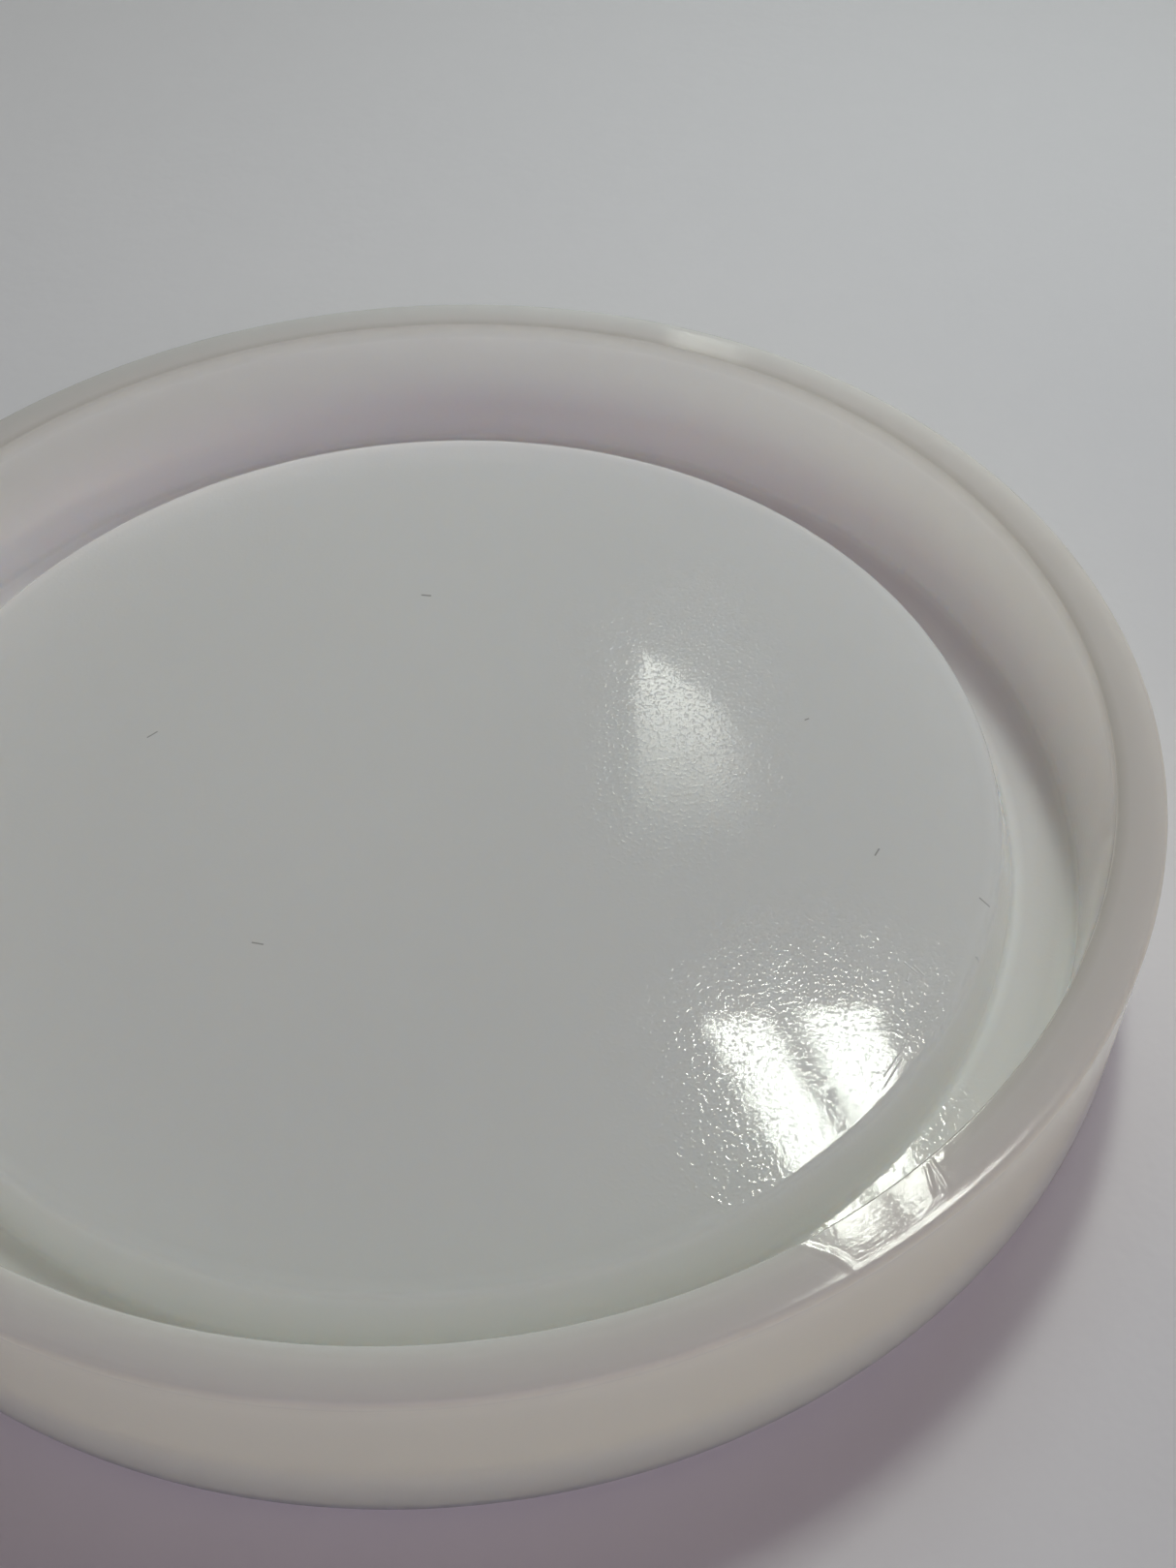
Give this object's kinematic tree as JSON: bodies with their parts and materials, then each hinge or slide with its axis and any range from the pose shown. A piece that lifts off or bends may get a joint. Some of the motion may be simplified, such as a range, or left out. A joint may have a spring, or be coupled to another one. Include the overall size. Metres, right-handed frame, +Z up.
{
  "type": "resin casting mould",
  "caption": "Round open silicone mould with a raised centre disc, a ring channel and an upright flat-rimmed wall, for casting a resin coaster with a lip.",
  "frame": {"origin": "centre of the flat underside that the mould rests on", "axes": "+Z points up, out of the open mould, along its axis of symmetry; X and Y lie in the underside and are interchangeable"},
  "size_m": [0.108, 0.108, 0.015],
  "materials": {
    "silicone": "milky translucent silicone, glossy from a polished master"
  },
  "bodies": {
    "root": {"base_sheet": "silicone", "raised_centre": "silicone", "side_wall": "silicone"}
  },
  "joints": []
}
